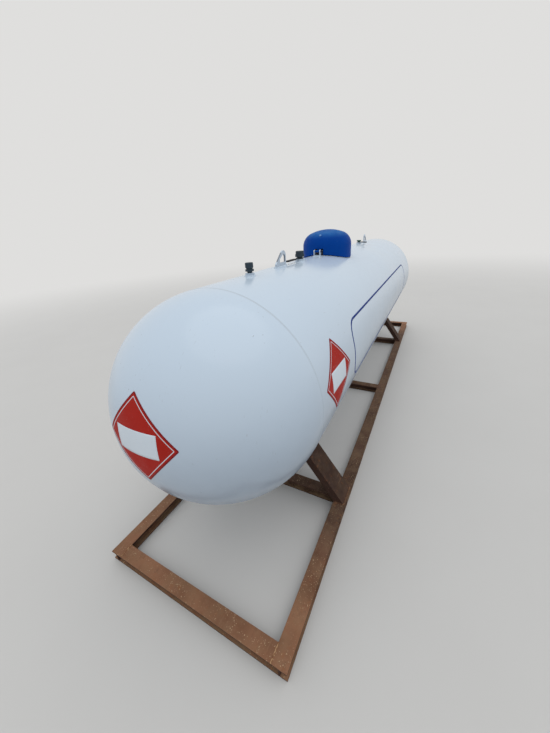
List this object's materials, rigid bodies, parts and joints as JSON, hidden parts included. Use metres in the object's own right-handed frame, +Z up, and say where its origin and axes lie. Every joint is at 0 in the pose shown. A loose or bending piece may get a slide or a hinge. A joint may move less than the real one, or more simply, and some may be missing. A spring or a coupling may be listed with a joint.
{
  "type": "horizontal pressure tank on a steel skid",
  "caption": "Horizontal steel pressure tank with round ends, valve hood and lifting lugs, carried on leaning legs by a welded skid.",
  "frame": {"origin": "on the ground, under the middle of the skid", "axes": "X along the tank with the near end of the picture at -X, Y across with the signed side at -Y, Z up"},
  "size_m": [4.925, 1.13, 1.6585],
  "materials": {
    "tank_paint": "gloss",
    "skid_primer": "scuffed matt",
    "hood_paint": "satin",
    "dark_metal": "weathered",
    "green_metal": "satin",
    "bare_steel": "weathered",
    "black_grip": "matt",
    "black_cap": "matt",
    "valve_brass": "dull",
    "wheel_red": "satin",
    "yellow_cap": "satin",
    "dial_white": "satin"
  },
  "bodies": {
    "tank": {"shell": "tank_paint", "head_near": "tank_paint", "head_far": "tank_paint", "rail_right": "skid_primer", "rail_left": "skid_primer", "cross_near_end": "skid_primer", "cross_near_legs": "skid_primer", "cross_middle": "skid_primer", "cross_far_legs": "skid_primer", "cross_far_end": "skid_primer", "leg_near_right": "skid_primer", "leg_near_left": "skid_primer", "leg_far_right": "skid_primer", "leg_far_left": "skid_primer", "lug_near": "tank_paint", "lug_far": "tank_paint", "near_coupling": "tank_paint", "near_valve": "dark_metal", "near_valve_cap": "dark_metal", "mid_coupling": "tank_paint", "mid_valve": "dark_metal", "mid_valve_cap": "dark_metal", "far_coupling": "tank_paint", "far_valve": "green_metal", "hinge_bracket": "tank_paint", "hinge_pin": "bare_steel", "valve_couplings": "tank_paint", "service_valve": "valve_brass", "service_wheel": "wheel_red", "filling_valve": "valve_brass", "filling_cap": "black_cap", "vapour_valve": "valve_brass", "vapour_cap": "yellow_cap", "float_gauge": "bare_steel", "gauge_dial": "dial_white", "relief_valve": "valve_brass", "relief_cap": "wheel_red"},
    "valve_hood": {"hood": "hood_paint", "hinge_arm": "hood_paint", "hood_bolt": "bare_steel"},
    "mid_hand_lever": {"mid_lever": "dark_metal", "mid_grip": "black_grip"},
    "far_hand_lever": {"far_lever": "dark_metal", "far_grip": "black_grip"}
  },
  "joints": [
    {"name": "hood_hinge", "type": "hinge", "parent": "tank", "child": "valve_hood", "pos_m": [-0.557, 0, 1.5045], "axis": [0, -1, 0], "range_deg": [0, 105]},
    {"name": "mid_lever_turn", "type": "hinge", "parent": "tank", "child": "mid_hand_lever", "pos_m": [-0.91, 0, 1.491], "axis": [0, 0, 1], "range_deg": [0, 90]},
    {"name": "far_lever_turn", "type": "hinge", "parent": "tank", "child": "far_hand_lever", "pos_m": [0.88, 0, 1.491], "axis": [0, 0, 1], "range_deg": [-35, 55]}
  ]
}
